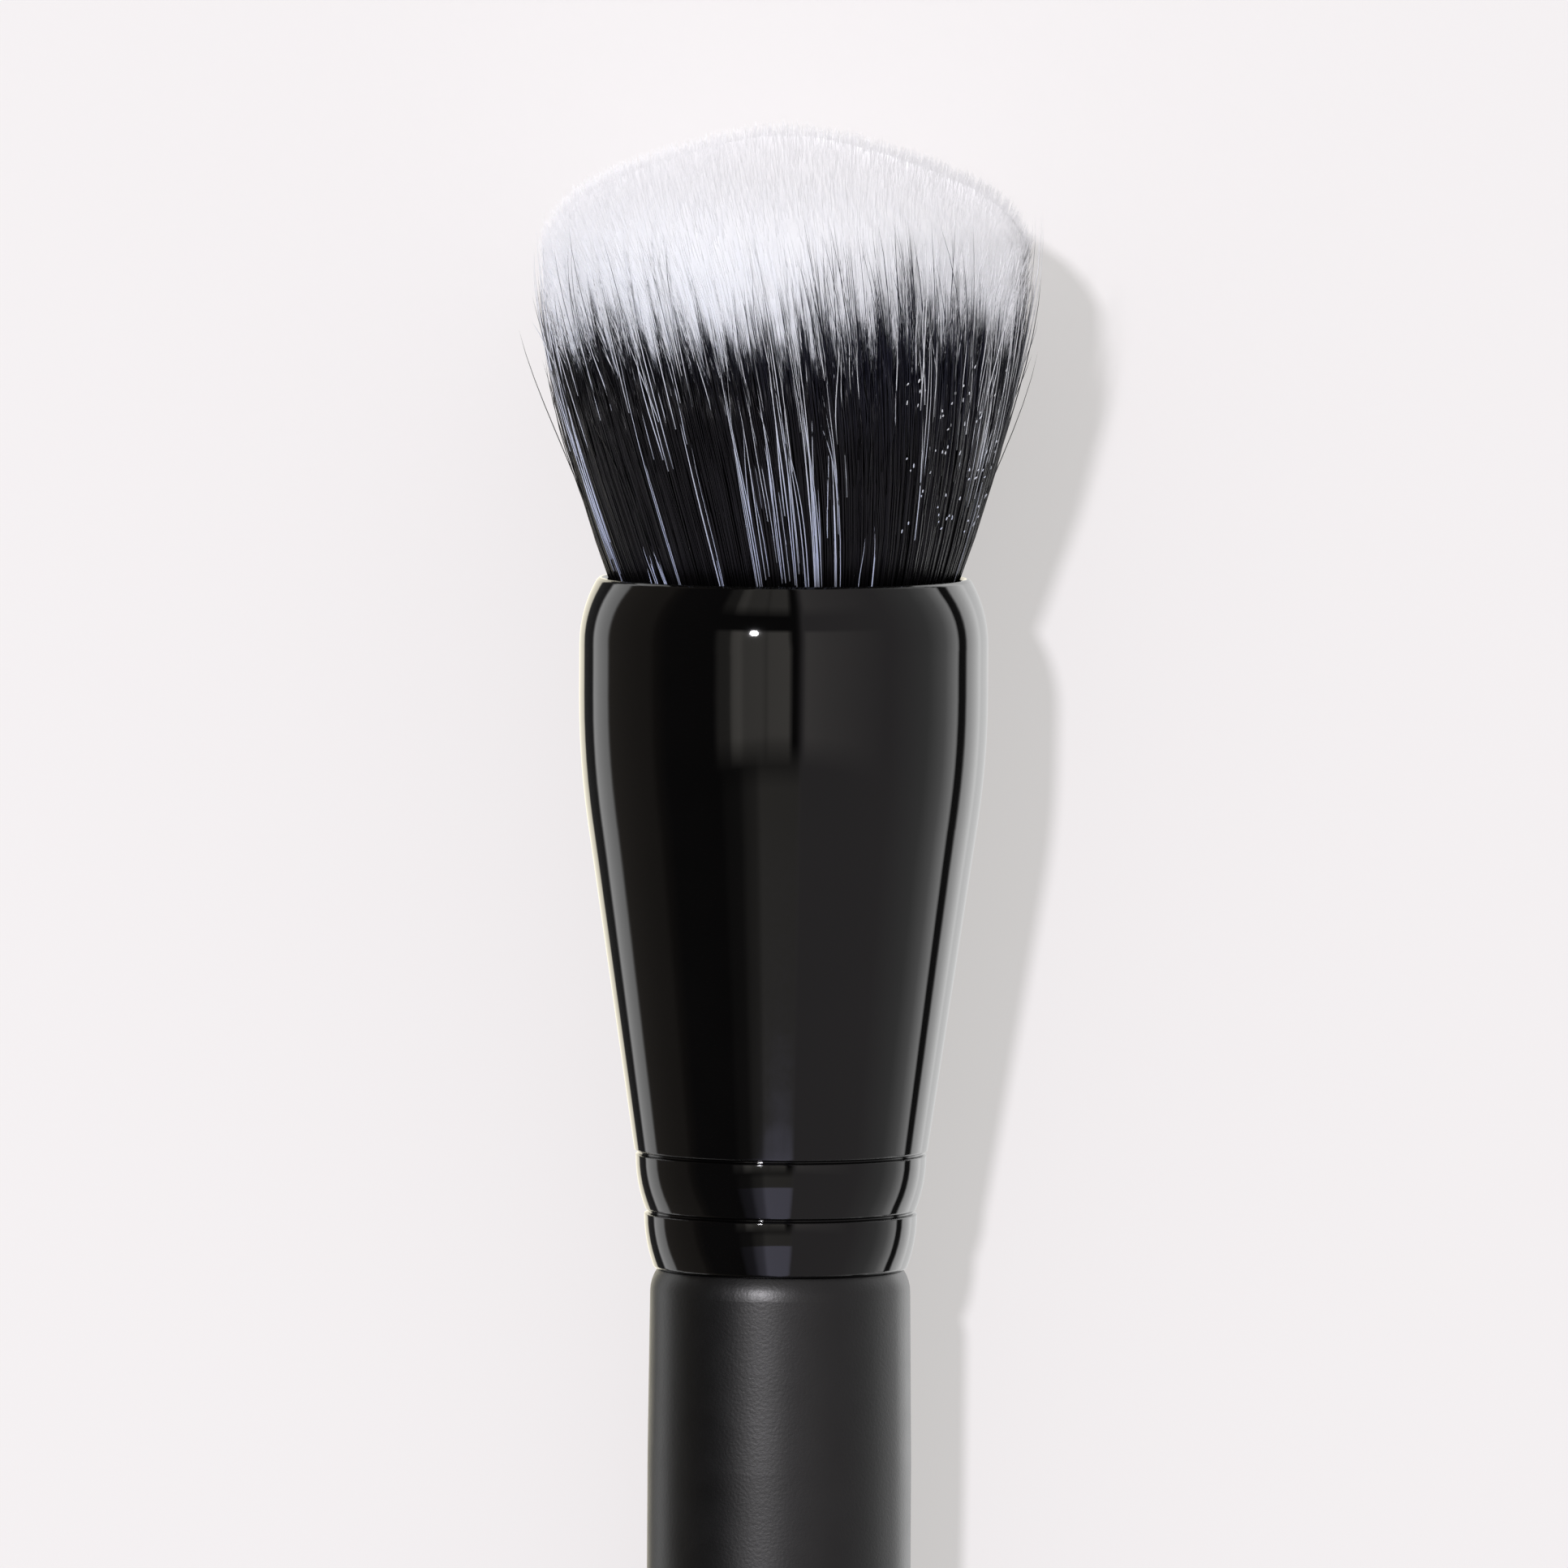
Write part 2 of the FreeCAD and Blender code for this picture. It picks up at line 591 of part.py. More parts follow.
def finish(drawing):
    """Lays the pieces down, tests every object and writes one file for each piece."""
    drawing.document.recompute()
    resting = drawing.resting_placement()
    for piece in drawing.nodes:
        piece.Placement = resting
    drawing.document.recompute()
    for thing in drawing.document.Objects:
        if "Invalid" in thing.State or "Error" in thing.State:
            raise RuntimeError(f"{thing.Name} failed: {thing.State}")
    for piece in drawing.nodes:
        if piece.Shape.isNull() or not piece.Shape.isValid() or piece.Shape.Volume <= 0:
            raise RuntimeError(f"{piece.Label} has no valid solid")
    os.makedirs("parts", exist_ok=True)
    for piece in drawing.nodes:
        piece.Shape.exportStep(os.path.join("parts", f"{piece.Label}.step"))


def main():
    drawing = Drawing()
    handle(drawing)
    ferrule(drawing)
    tenon_glue(drawing)
    root_glue(drawing)
    binding_thread(drawing)
    fibres(drawing)
    finish(drawing)


main()
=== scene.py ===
import json
import math

import bpy
import numpy as np
from mathutils import Euler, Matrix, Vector

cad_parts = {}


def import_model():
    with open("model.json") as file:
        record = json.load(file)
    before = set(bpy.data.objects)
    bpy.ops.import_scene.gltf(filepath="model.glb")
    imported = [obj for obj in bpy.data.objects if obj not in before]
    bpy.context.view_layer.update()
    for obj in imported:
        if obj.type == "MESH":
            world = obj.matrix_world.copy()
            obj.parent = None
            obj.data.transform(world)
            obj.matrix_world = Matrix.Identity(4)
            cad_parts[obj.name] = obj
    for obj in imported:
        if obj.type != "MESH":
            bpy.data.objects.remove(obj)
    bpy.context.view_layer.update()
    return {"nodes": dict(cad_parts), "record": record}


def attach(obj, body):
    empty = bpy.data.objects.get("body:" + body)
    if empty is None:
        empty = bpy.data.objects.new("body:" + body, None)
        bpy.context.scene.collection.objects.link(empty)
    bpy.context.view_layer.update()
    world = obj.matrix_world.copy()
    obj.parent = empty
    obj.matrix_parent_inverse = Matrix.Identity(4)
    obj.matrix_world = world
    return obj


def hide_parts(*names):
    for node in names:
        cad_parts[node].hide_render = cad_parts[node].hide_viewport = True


MM = 0.001
FULL_TURN = 2 * math.pi
SEED = 4021

# Heights on the brush's axis in mm, from the butt, as the solids have them.
GRIP_MIDDLE = 80.0
MOUTH = 147.7

# The tuft, in mm. Its heights count from the ferrule's mouth.
MOUTH_RADIUS = 10.85
WIDEST_RADIUS = 15.4
WIDEST_HEIGHT = 21.5
FLARE_POWER = 1.7
DOME_TOP = 27.95
DOME_BOW, DOME_BOW_POWER = 4.8, 1.5  # the gentle fall from the middle
DOME_RIM, DOME_RIM_POWER = 2.5, 12.0  # the quick fall at the rim
TWIST = math.radians(17.0)  # how far the fibres turn around the axis on their way to the dome
ROOT_HEIGHT = -1.6  # fibres that come out of the ferrule start inside it
CROWN_HEIGHT = 13.4  # where the black fibres start to end
HIGHEST_BLACK = 19.5  # no fibre of the black layers ends above this
FLOOR_GAP = 0.07  # fibres that lie on the floor keep this far above it
PRESS_DEPTH = 0.8  # the floor starts to press fibres up from this height

# The photograph: 20 pixels to a millimetre at the height of the ferrule's axis.
IMAGE_SIZE = 1932
PIXELS_PER_MM = 20.0
VIEW_CENTRE = (0.06, 47.35, 13.0)  # mm
CAMERA_DISTANCE = 1250.0  # mm
CAMERA_ROLL = math.radians(0.32)
SENSOR_WIDTH = 36.0  # mm
VIEW_REACH = 10.0  # m


class Brush:
    """The brush's own directions: across it, off its axis towards the camera, and along it."""

    def __init__(self, record):
        grip = next(mount for mount in record["mounts"] if mount["name"] == "grip")
        axis = -np.array(grip["axis"])
        self.axis = axis / np.linalg.norm(axis)
        self.across = np.array([1.0, 0.0, 0.0])
        self.front = np.cross(self.across, self.axis)
        foot = np.array(grip["pos_m"]) / MM - self.axis * GRIP_MIDDLE
        self.mouth = foot + self.axis * MOUTH

    def place(self, angle, radius, height):
        """Points in mm from cylindrical coordinates about the axis, kept above the floor."""
        x, y = radius * np.cos(angle), radius * np.sin(angle)
        points = (
            self.mouth
            + x[..., None] * self.across
            + y[..., None] * self.front
            + height[..., None] * self.axis
        )
        # what the floor presses up keeps a little of its depth, so that layers stay apart
        depth = PRESS_DEPTH - FLOOR_GAP
        under = np.minimum(points[..., 2] - PRESS_DEPTH, 0.0)
        pressed = FLOOR_GAP + depth * np.exp(under / depth)
        points[..., 2] = np.where(under < 0, pressed, points[..., 2])
        return points


def flare(height):
    """Radius of the tuft's outside at a height above the mouth."""
    left = 1 - np.minimum(height / WIDEST_HEIGHT, 1.0)
    return MOUTH_RADIUS + (WIDEST_RADIUS - MOUTH_RADIUS) * (1 - left**FLARE_POWER)


def dome(share):
    """Height of the dome at a share of the tuft's radius."""
    return DOME_TOP - DOME_BOW * share**DOME_BOW_POWER - DOME_RIM * share**DOME_RIM_POWER


def waves(angle, periods, random):
    """Smooth noise around the axis: sines with these periods in degrees and random phases."""
    total = np.zeros_like(angle)
    for period in periods:
        turns = round(360 / period)
        total += np.sin(turns * angle + random.uniform(0, FULL_TURN))
    return total / len(periods)


def new_mesh(name, points, faces, smooth=True, tone=None):
    """An object from points in mm and triangles; tone is a number on each point."""
    mesh = bpy.data.meshes.new(name)
    mesh.vertices.add(len(points))
    mesh.vertices.foreach_set("co", (points * MM).astype(np.float32).ravel())
    mesh.loops.add(faces.size)
    mesh.loops.foreach_set("vertex_index", faces.astype(np.int32).ravel())
    mesh.polygons.add(len(faces))
    mesh.polygons.foreach_set("loop_start", np.arange(0, faces.size, 3, dtype=np.int32))
    mesh.polygons.foreach_set("loop_total", np.full(len(faces), 3, np.int32))
    mesh.polygons.foreach_set("use_smooth", np.full(len(faces), smooth))
    if tone is not None:
        attribute = mesh.attributes.new("tone", "FLOAT", "POINT")
        attribute.data.foreach_set("value", tone.astype(np.float32))
    mesh.update(calc_edges=True)
    mesh.validate()
    thing = bpy.data.objects.new(name, mesh)
    bpy.context.scene.collection.objects.link(thing)
    return thing


def finish_piece(thing, material):
    """Gives a piece its material, and puts it in place of the solid of its colour."""
    colour = thing.name.split("_")[0]
    node, slot = f"{colour}_fibres", f"{colour}_fibre"
    thing.data.materials.append(material)
    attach(thing, "root")
    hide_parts(node)


CORE_RIDGES = (9, 6.1, 4.3)  # degrees from one ridge to the next
SMOOTH_SHARE = 0.6  # there are no ridges within this share of the tuft's radius
RIDGE_GROWTH = 3.0  # how quickly they reach their full height outside it


def add_core(name, material, brush, random, rows, stations, ripple):
    """A closed body of rings inside the tuft, with uneven ridges along the fibres.

    rows gives each ring's height and share of the tuft's radius, from the mouth upwards.
    """
    angle = np.linspace(0, FULL_TURN, stations, endpoint=False)
    ridges = waves(angle, CORE_RIDGES, random)
    rings = []
    for height, share in rows:
        level = np.full(stations, height)
        turned = angle + TWIST * level / DOME_TOP
        ridged = min(max(RIDGE_GROWTH * (share - SMOOTH_SHARE), 0), 1)
        radius = share * flare(level) + ripple * ridges * ridged
        rings.append(brush.place(turned, radius, level))
    ends = [rings[0].mean(0)[None], rings[-1].mean(0)[None]]
    points = np.concatenate(rings + ends)
    bottom, top = len(points) - 2, len(points) - 1
    last = (len(rings) - 1) * stations
    neighbours = [(station, (station + 1) % stations) for station in range(stations)]
    faces = []
    for foot in range(0, last, stations):
        for station, following in neighbours:
            a, b = foot + station, foot + following
            faces += [(a, b, b + stations), (a, b + stations, a + stations)]
    for station, following in neighbours:
        faces += [(bottom, following, station), (top, last + station, last + following)]
    tone = random.uniform(0, 1, len(points))
    finish_piece(new_mesh(name, points, np.array(faces), tone=tone), material)


STRAND_SIDES = 3
ASKEW = np.array([0.31, 0.17, 0.93])  # a direction that no strand runs along


def unit(vectors):
    return vectors / np.linalg.norm(vectors, axis=2, keepdims=True)


def strand_mesh(name, paths, widths, tones):
    """Closed three-sided strands along paths (strand, point, xyz) that end in a fine point."""
    count, steps, _ = paths.shape
    ahead = unit(np.gradient(paths, axis=1))
    aside = unit(np.cross(ahead, ASKEW))
    third = np.cross(ahead, aside)
    corners = []
    for side in range(STRAND_SIDES):
        turn = FULL_TURN * side / STRAND_SIDES
        out = math.cos(turn) * aside + math.sin(turn) * third
        corners.append(paths + out * widths[..., None])
    body = np.stack(corners, axis=2)[:, :-1]
    points = np.concatenate([body.reshape(count, -1, 3), paths[:, -1:]], axis=1)
    per_strand = points.shape[1]
    last = STRAND_SIDES * (steps - 2)
    neighbours = [(side, (side + 1) % STRAND_SIDES) for side in range(STRAND_SIDES)]
    faces = [(0, 2, 1)]
    for foot in range(0, last, STRAND_SIDES):
        for side, following in neighbours:
            a, b = foot + side, foot + following
            faces += [(a, b, b + STRAND_SIDES), (a, b + STRAND_SIDES, a + STRAND_SIDES)]
    for side, following in neighbours:
        faces.append((last + side, last + following, per_strand - 1))
    faces = np.array(faces)[None] + np.arange(count)[:, None, None] * per_strand
    tone = np.repeat(tones, per_strand)
    return new_mesh(name, points.reshape(-1, 3), faces.reshape(-1, 3), tone=tone)


LIMBER_LENGTH = 5.0  # shorter strands, in mm, stand straighter
BEND_POWER = 1.5  # a strand bends more and more towards its tip
BEND_OUT, BEND_ROUND = 3.1, 3.7  # radians of a sine that a strand's bend runs through
LEAST_RADIUS = 2.0  # mm, so that strands near the axis don't swing around it


def strand_paths(brush, angle, start, tip, shares, steps, random, wave, lean):
    """Paths of fibres that fan out with the tuft.

    angle is where a fibre would be at the mouth; start and tip are its heights; shares gives
    its place between the axis and the outside at both ends; wave is how far its tip wanders,
    in mm, and lean how far it turns aside, in radians.
    """
    along = np.linspace(0, 1, steps)[None, :]
    height = start[:, None] + (tip - start)[:, None] * along
    share = shares[0][:, None] + (shares[1] - shares[0])[:, None] * along
    turned = angle[:, None] + TWIST * height / DOME_TOP
    radius = share * flare(height)
    phase = random.uniform(0, FULL_TURN, (len(angle), 2))
    limber = np.minimum((tip - start) / LIMBER_LENGTH, 1.0)[:, None] ** 2
    bend = wave * limber * along**BEND_POWER
    radius = radius + bend * np.sin(BEND_OUT * along + phase[:, :1])
    swing = bend * np.cos(BEND_ROUND * along + phase[:, 1:])
    turned = turned + swing / np.maximum(radius, LEAST_RADIUS)
    turned = turned + lean[:, None] * limber * along**2
    return brush.place(turned, radius, height)


TIP_THINNING = 0.75  # the share of a strand's width that is gone just before its point
TAPER_POWER = 1.4
WIDTH_RANGE = (0.8, 1.2)


def strand_widths(count, steps, width, random, fine_from):
    """Strand radii in mm: full up to fine_from of the length, then down to a fine point."""
    along = np.linspace(0, 1, steps)[None, :]
    thinner = np.clip((along - fine_from) / (1 - fine_from), 0, 1) ** TAPER_POWER
    taper = 1 - TIP_THINNING * thinner
    return width * taper * random.uniform(*WIDTH_RANGE, (count, 1))


def add_strands(
    name, material, brush, random, angle, ends, shares, width,
    steps=5, wave=0.12, lean=None, fine_from=0.45, uneven=None, shadow=True,
):
    """A piece of fibres.

    ends gives the heights at which they start and end, and uneven a range of factors by which
    their widths differ on top of the usual range.
    """
    count = len(angle)
    lean = np.zeros(count) if lean is None else lean
    paths = strand_paths(brush, angle, *ends, shares, steps, random, wave, lean)
    widths = strand_widths(count, steps, width, random, fine_from)
    if uneven:
        widths = widths * random.uniform(*uneven, (count, 1))
    thing = strand_mesh(name, paths, widths, random.uniform(0, 1, count))
    thing.visible_shadow = shadow
    finish_piece(thing, material)


# How much higher black fibres end around the brush: an angle at the mouth in degrees, and mm.
CROWN_LINE = (
    (0, -0.1), (20, 0.0), (40, 0.6), (52, 0.4), (66, 0.0), (82, 0.1), (96, 0.3), (107, 0.5),
    (125, 0.0), (144, -0.6), (180, -0.3), (270, 0.3),
)  # fmt: skip
LOCKS = 76
LOCK_SHIFT = 0.32  # how far a lock may be from its even place, as a share of the step
LOCK_RISE = (1.2, 4.8)  # mm from the crown line to a lock's point
LOCK_DEPTH = 0.45  # mm that the places between locks stray from the crown line
LOCK_POWER = 1.7  # how pointed the locks are


class Crown:
    """The jagged line on the outside where black fibres end: pointed locks, no two alike."""

    def __init__(self, random):
        places = np.arange(LOCKS) + random.uniform(-LOCK_SHIFT, LOCK_SHIFT, LOCKS)
        self.centres = places * (FULL_TURN / LOCKS)
        self.middles = (self.centres + np.roll(self.centres, -1)) / 2
        self.middles[-1] += math.pi
        self.peaks = random.uniform(*LOCK_RISE, LOCKS)
        self.valleys = random.normal(0.0, LOCK_DEPTH, LOCKS)

    def height(self, angle):
        """Heights above the mouth where black fibres end."""
        knots = np.concatenate([self.centres, self.middles])
        zigzag = np.concatenate([np.ones(LOCKS), np.zeros(LOCKS)])
        point = np.interp(angle, knots, zigzag, period=FULL_TURN) ** LOCK_POWER
        low = np.interp(angle, self.middles, self.valleys, period=FULL_TURN)
        top = np.interp(angle, self.centres, self.peaks, period=FULL_TURN)
        places, rises = np.array(CROWN_LINE).T
        slow = np.interp(np.degrees(angle), places, rises, period=360)
        return CROWN_HEIGHT + slow + low + (top - low) * point


# The black under layer's rings: height, and share of the tuft's radius.
BLACK_CORE = (
    (-3.0, 0.95), (-1.0, 0.96), (1.0, 0.965), (3.0, 0.965), (5.0, 0.96), (7.0, 0.95),
    (9.0, 0.94), (10.2, 0.88),
)  # fmt: skip
# The layers of black fibres: how many, between which shares of the radius their tips lie, and
# how far below the crown they end, in mm.
BLACK_LAYERS = ((7600, 0.96, 1.0, 0.0), (5600, 0.89, 0.965, 1.5))
TIP_SPREAD = 0.4  # mm
LOCK_BLUR = 0.006  # radians by which single fibres leave their lock
# The share of longer hairs, how much it changes around the brush, and where it is highest.
LONG_SHARE, LONG_SHARE_SWING, LONG_SHARE_ANGLE = 0.06, 0.05, 1.0
LONG_RISE = (0.5, 4.5)  # mm that they stand above the crown


def build_black(brush, material):
    random = np.random.default_rng(SEED)
    crown = Crown(random)
    add_core(
        "black_under_layer", material, brush, random, BLACK_CORE, stations=300, ripple=0.08
    )
    for number, (count, inner, outer, lower) in enumerate(BLACK_LAYERS):
        angle = random.uniform(0, FULL_TURN, count)
        tip = crown.height(angle + random.normal(0, LOCK_BLUR, count))
        tip += random.normal(0, TIP_SPREAD, count) - lower
        chance = LONG_SHARE + LONG_SHARE_SWING * np.cos(angle - LONG_SHARE_ANGLE)
        long_hair = random.uniform(0, 1, count) < chance
        tip += np.where(long_hair, random.uniform(*LONG_RISE, count), 0.0)
        share = random.uniform(inner, outer, count)
        fan = random.uniform(0.0, 0.04, count)
        ends = (np.full(count, ROOT_HEIGHT), np.minimum(tip, HIGHEST_BLACK))
        add_strands(
            f"black_fibres_{number + 1}", material, brush, random,
            angle, ends, (share - fan, share), width=0.06,
        )


# The white under layer's rings up the side: height, and share of the tuft's radius. The rest
# lie under the dome, at these shares.
WHITE_CORE = (
    (2.0, 0.76), (5.0, 0.80), (8.0, 0.83), (11.0, 0.87), (13.0, 0.90), (15.0, 0.93),
    (17.0, 0.95), (18.4, 0.955), (19.2, 0.955),
)  # fmt: skip
WHITE_CORE_DOME = (0.945, 0.91, 0.85, 0.75, 0.6, 0.42, 0.24, 0.1)
WHITE_CORE_REACH = 0.975  # the share of the radius at which the under layer's dome would end
WHITE_CORE_DEPTH = 0.6  # mm under the dome
WHITE_PIECES = 2  # the dome's strands and the side's are each divided among so many pieces
DOME_STRANDS, SIDE_STRANDS = 10200, 5600  # in one piece
DOME_EDGE = 0.99  # the share of the radius at which the outermost tips lie
DOME_RISE, DOME_FALL = 0.45, 0.6  # mm above the dome, and how far below that most tips end
SIDE_TIPS = (14.0, 19.0)
SIDE_STEP = 2.5  # how much higher the second piece of the side ends


def build_white(brush, material, packed):
    random = np.random.default_rng(SEED + 2)
    rows = list(WHITE_CORE)
    for share in WHITE_CORE_DOME:
        rows.append((dome(share / WHITE_CORE_REACH) - WHITE_CORE_DEPTH, share))
    add_core("white_under_layer", packed, brush, random, rows, stations=360, ripple=0.05)

    # the dome: tips at every distance from the axis
    for number in range(WHITE_PIECES):
        count = DOME_STRANDS
        angle = random.uniform(0, FULL_TURN, count)
        share = np.sqrt(random.uniform(0, 1, count)) * DOME_EDGE
        tip = dome(share) + DOME_RISE - random.exponential(DOME_FALL, count)
        length = random.uniform(5.0, 8.0, count)
        fan = random.uniform(0.82, 0.93, count)
        # thin white fibres let the light through, so they cast no shadow
        add_strands(
            f"white_dome_{number + 1}", material, brush, random,
            angle, (tip - length, tip), (share * fan, share), width=0.058,
            steps=4, wave=0.16, fine_from=0.3, shadow=False,
        )

    # the side: fibres that come out from under the black ones
    for number in range(WHITE_PIECES):
        count = SIDE_STRANDS
        angle = random.uniform(0, FULL_TURN, count)
        share = random.uniform(0.94, 1.0, count)
        lowest, highest = (height + SIDE_STEP * number for height in SIDE_TIPS)
        tip = random.uniform(lowest, highest, count)
        length = random.uniform(8.0, 11.0, count)
        fan = random.uniform(0.13, 0.24, count)
        add_strands(
            f"white_side_{number + 1}", material, brush, random,
            angle, (tip - length, tip), (share - fan, share), width=0.062,
            wave=0.14, shadow=False,
        )


# Clumps of white fibres over the black ones: where they leave the ferrule and how wide they
# are, in degrees (90 faces the camera), how many, and between which heights they start and end.
CLUMPS = (
    (137, 5.0, 8, (-1.4, -0.5), (0.8, 2.5)),
    (126, 0.3, 2, (-1.4, -1.2), (14.0, 18.0)),
    (118, 2.0, 3, (6.0, 9.0), (12.0, 18.0)),
    (111, 0.4, 3, (-1.4, -1.2), (7.0, 12.0)),
    (98, 1.5, 9, (-1.4, 2.0), (7.0, 16.0)),
    (91, 1.5, 8, (-1.4, 5.0), (6.0, 15.0)),
    (84, 2.6, 14, (-1.4, 2.0), (7.0, 18.0)),
    (79, 0.8, 8, (-1.4, 0.0), (10.0, 18.0)),
    (73, 1.8, 9, (-1.4, 6.0), (9.0, 17.0)),
    (64, 3.0, 3, (-1.4, 0.0), (1.5, 4.0)),
    (45, 0.3, 3, (-0.5, 2.0), (15.0, 19.0)),
    (33, 4.0, 7, (6.0, 11.0), (14.0, 18.0)),
    (22, 3.0, 8, (3.0, 9.0), (11.0, 18.0)),
)
# Clumps on the far side, which the photograph doesn't show.
FAR_CLUMPS = 16
FAR_SIDE = (155, 385)  # degrees
FAR_STARTS = (-1.4, 3.0)  # a clump's strands start from one of these heights
FAR_START_SPREAD = 4  # mm
FAR_TIPS = (9, 18)


def far_clumps(random):
    for _ in range(FAR_CLUMPS):
        centre = random.uniform(*FAR_SIDE)
        lowest = random.choice(FAR_STARTS)
        size = int(random.integers(2, 12))
        width = random.uniform(0.5, 3)
        yield centre, width, size, (lowest, lowest + FAR_START_SPREAD), FAR_TIPS


def build_streaks(brush, material):
    """White fibres that run over the black ones, most of them from the ferrule to the dome."""
    random = np.random.default_rng(SEED + 4)
    clumps = [*CLUMPS, *far_clumps(random)]
    angle, start, tip = [], [], []
    for centre, width, count, starts, tips in clumps:
        angle.append(np.radians(centre + random.normal(0, width, count)))
        start.append(random.uniform(*starts, count))
        tip.append(random.uniform(*tips, count))
    angle, start, tip = (np.concatenate(part) for part in (angle, start, tip))
    share = random.uniform(0.99, 1.008, len(angle))
    emerging = 0.012 * (start >= 0)  # strands that start above the mouth come out from inside
    lean = random.normal(0, 0.02, len(angle))
    add_strands(
        "white_streaks", material, brush, random,
        angle, (start, tip), (share - emerging, share), width=0.035,
        steps=8, wave=0.22, lean=lean, uneven=(0.6, 1.3),
    )


# Single fibres that stand off from the tuft or run over it: name, how many, where around the
# brush and how widely in degrees, from and to which heights, how far they stand off as a share
# of the radius, and how thick they are in mm of radius. The glint stubs are painted glints:
# short white specks that stand in for glints on the black hairs; they end just above where they
# come out, so they have no height to end.
STRAYS = (
    ("black_strays", 190, (0, 200), (2.0, 8.0), (11.0, 19.0), 0.022, 0.034),
    ("black_long_hairs", 110, (52, 22), (5.0, 9.0), (16.0, 23.0), 0.012, 0.032),
    ("white_strays", 150, (0, 200), (7.0, 13.0), (15.0, 23.0), 0.022, 0.034),
    # painted glints: white specks that stand in for glints on the black hairs
    ("white_stubs", 70, (30, 22), (3.0, 13.5), None, 0.004, 0.05),
    ("black_fine_hairs", 22, (118, 34), (8.0, 12.0), (16.0, 22.5), 0.008, 0.024),
)
GLINT_STUB_LENGTH = (0.1, 0.3)  # mm
GLINT_STUB_RISE = 0.012  # how far the painted glint stubs stand proud, as a share of the radius
STRAY_WAVE = 0.3  # mm
STRAY_LEAN = 0.03  # radians


def build_strays(brush, black, white):
    random = np.random.default_rng(SEED + 3)
    for name, count, (middle, spread), starts, tips, off, width in STRAYS:
        material = black if name.startswith("black") else white
        angle = np.radians(middle + spread * random.uniform(-1, 1, count))
        start = random.uniform(*starts, count)
        if tips:
            tip, rise, limber = random.uniform(*tips, count), 0.0, 1.0
        # painted glints: the glint stubs end just above where they start
        else:
            tip, rise, limber = start + random.uniform(*GLINT_STUB_LENGTH, count), GLINT_STUB_RISE, 0.0
        share = random.uniform(0.98, 1.0, count) + rise
        out = share + random.exponential(off, count)
        lean = random.normal(0, STRAY_LEAN, count) * limber
        add_strands(
            name, material, brush, random, angle, (start, tip), (share, out), width,
            steps=8, wave=STRAY_WAVE * limber, lean=lean,
        )


class Nodes:
    """Short ways to make and join the nodes of a material or of the world."""

    def __init__(self, owner):
        self.owner = owner
        owner.use_nodes = True
        self.tree = owner.node_tree
        self.shader = self.tree.nodes.get("Principled BSDF")

    def add(self, kind, **settings):
        node = self.tree.nodes.new(kind)
        for key, value in settings.items():
            setattr(node, key, value)
        return node

    def feed(self, socket, value):
        """Joins another node's output to an input, or sets the input to a plain value."""
        if isinstance(value, bpy.types.NodeSocket):
            self.tree.links.new(value, socket)
        else:
            socket.default_value = value

    def feed_all(self, node, *values):
        for socket, value in zip(node.inputs, values):
            self.feed(socket, value)
        return node

    def shade(self, name, value):
        """Feeds one of the material's own inputs."""
        self.feed(self.shader.inputs[name], value)

    def coordinates(self, kind):
        return self.add("ShaderNodeTexCoord").outputs[kind]

    def split(self, vector):
        return self.feed_all(self.add("ShaderNodeSeparateXYZ"), vector).outputs

    def calculate(self, operation, *values):
        node = self.add("ShaderNodeMath", operation=operation)
        return self.feed_all(node, *values).outputs["Value"]

    def mix(self, factor, first, second):
        """The first colour where the factor is 0, and the second where it is 1."""
        node = self.add("ShaderNodeMixRGB")
        return self.feed_all(node, factor, first, second).outputs["Color"]

    def noise(self, scale, detail=3.0, roughness=0.5, stretch=(1, 1, 1)):
        """Noise on the object's own coordinates, in cycles per metre."""
        mapping = self.add("ShaderNodeMapping")
        self.feed(mapping.inputs["Vector"], self.coordinates("Object"))
        self.feed(mapping.inputs["Scale"], stretch)
        noise = self.add("ShaderNodeTexNoise")
        self.feed(noise.inputs["Vector"], mapping.outputs["Vector"])
        self.feed(noise.inputs["Scale"], scale)
        self.feed(noise.inputs["Detail"], detail)
        self.feed(noise.inputs["Roughness"], roughness)
        return noise.outputs["Fac"]

    def ramp(self, factor, stops):
        ramp = self.add("ShaderNodeValToRGB")
        while len(ramp.color_ramp.elements) < len(stops):
            ramp.color_ramp.elements.new(0.5)
        for element, (place, colour) in zip(ramp.color_ramp.elements, stops):
            element.position = place
            element.color = (*colour, 1.0)
        self.feed(ramp.inputs["Fac"], factor)
        return ramp.outputs["Color"]

    def remap(self, value, old=(0.0, 1.0), new=(0.0, 1.0)):
        """Maps an old range evenly to a new one, and holds what is outside at its ends."""
        node = self.add("ShaderNodeMapRange")
        return self.feed_all(node, value, *old, *new).outputs["Result"]

    def bump(self, height, strength, distance, rounding=None):
        """Bumps in metres; rounding is the radius that sharp edges look rounded to."""
        bump = self.add("ShaderNodeBump")
        if rounding:
            soft_edges = self.add("ShaderNodeBevel", samples=8)
            self.feed(soft_edges.inputs["Radius"], rounding)
            self.feed(bump.inputs["Normal"], soft_edges.outputs["Normal"])
        self.feed(bump.inputs["Strength"], strength)
        self.feed(bump.inputs["Distance"], distance)
        self.feed(bump.inputs["Height"], height)
        self.shade("Normal", bump.outputs["Normal"])


def handle_material():
    nodes = Nodes(bpy.data.materials.new("matt_black_lacquer"))
    cloud = nodes.noise(scale=420, detail=4.0)
    grain = nodes.noise(scale=5200, detail=2.0)
    colours = [(0.35, (0.0005, 0.0005, 0.0007)), (0.65, (0.0018, 0.0018, 0.002))]
    nodes.shade("Base Color", nodes.ramp(cloud, colours))
    nodes.shade("Roughness", nodes.remap(cloud, new=(0.35, 0.42)))
    nodes.shade("Specular IOR Level", 0.6)
    nodes.bump(grain, strength=0.25, distance=0.00004)
    return nodes.owner


